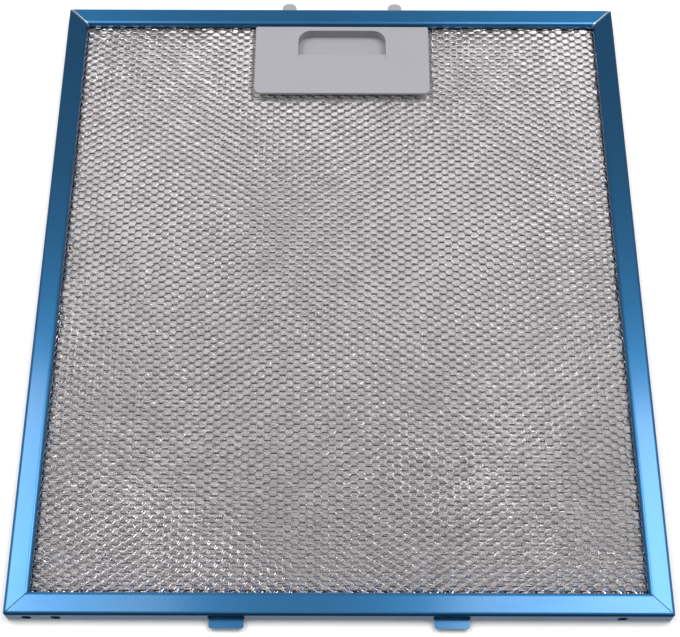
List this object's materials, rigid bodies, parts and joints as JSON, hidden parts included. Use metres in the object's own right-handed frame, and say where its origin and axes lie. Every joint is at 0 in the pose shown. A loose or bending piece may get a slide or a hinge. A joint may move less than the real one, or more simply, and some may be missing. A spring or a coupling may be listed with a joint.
{
  "type": "cooker hood grease filter",
  "caption": "Flat rectangular grease filter for a cooker hood: a folded blue aluminium frame round a pack of expanded mesh, with hanging lugs and a sprung finger latch.",
  "frame": {"origin": "middle of the back of the frame, in the plane that it rests on", "axes": "+X across the filter, +Y from the lugs towards the latch, +Z out of the front mesh"},
  "size_m": [0.267, 0.3145, 0.008],
  "materials": {
    "blue_aluminium": "satin blue film",
    "mesh_aluminium": "bright expanded metal",
    "grey_plastic": "fine moulded satin",
    "spring_steel": "bright wire"
  },
  "bodies": {
    "filter": {"frame": "blue_aluminium", "front_mesh": "mesh_aluminium", "inner_mesh_1": "mesh_aluminium", "inner_mesh_2": "mesh_aluminium", "inner_mesh_3": "mesh_aluminium", "back_mesh": "mesh_aluminium", "latch_base": "grey_plastic", "latch_spring_left": "spring_steel", "latch_spring_right": "spring_steel"},
    "latch": {"latch_slider": "grey_plastic"}
  },
  "joints": [
    {"name": "latch_slide", "type": "slide", "parent": "filter", "child": "latch", "axis": [0, -1, 0], "range_m": [0, 0.0063], "stiffness_N_per_m": 900, "springref_m": -0.006, "deforming": ["latch_spring_left", "latch_spring_right"]}
  ]
}
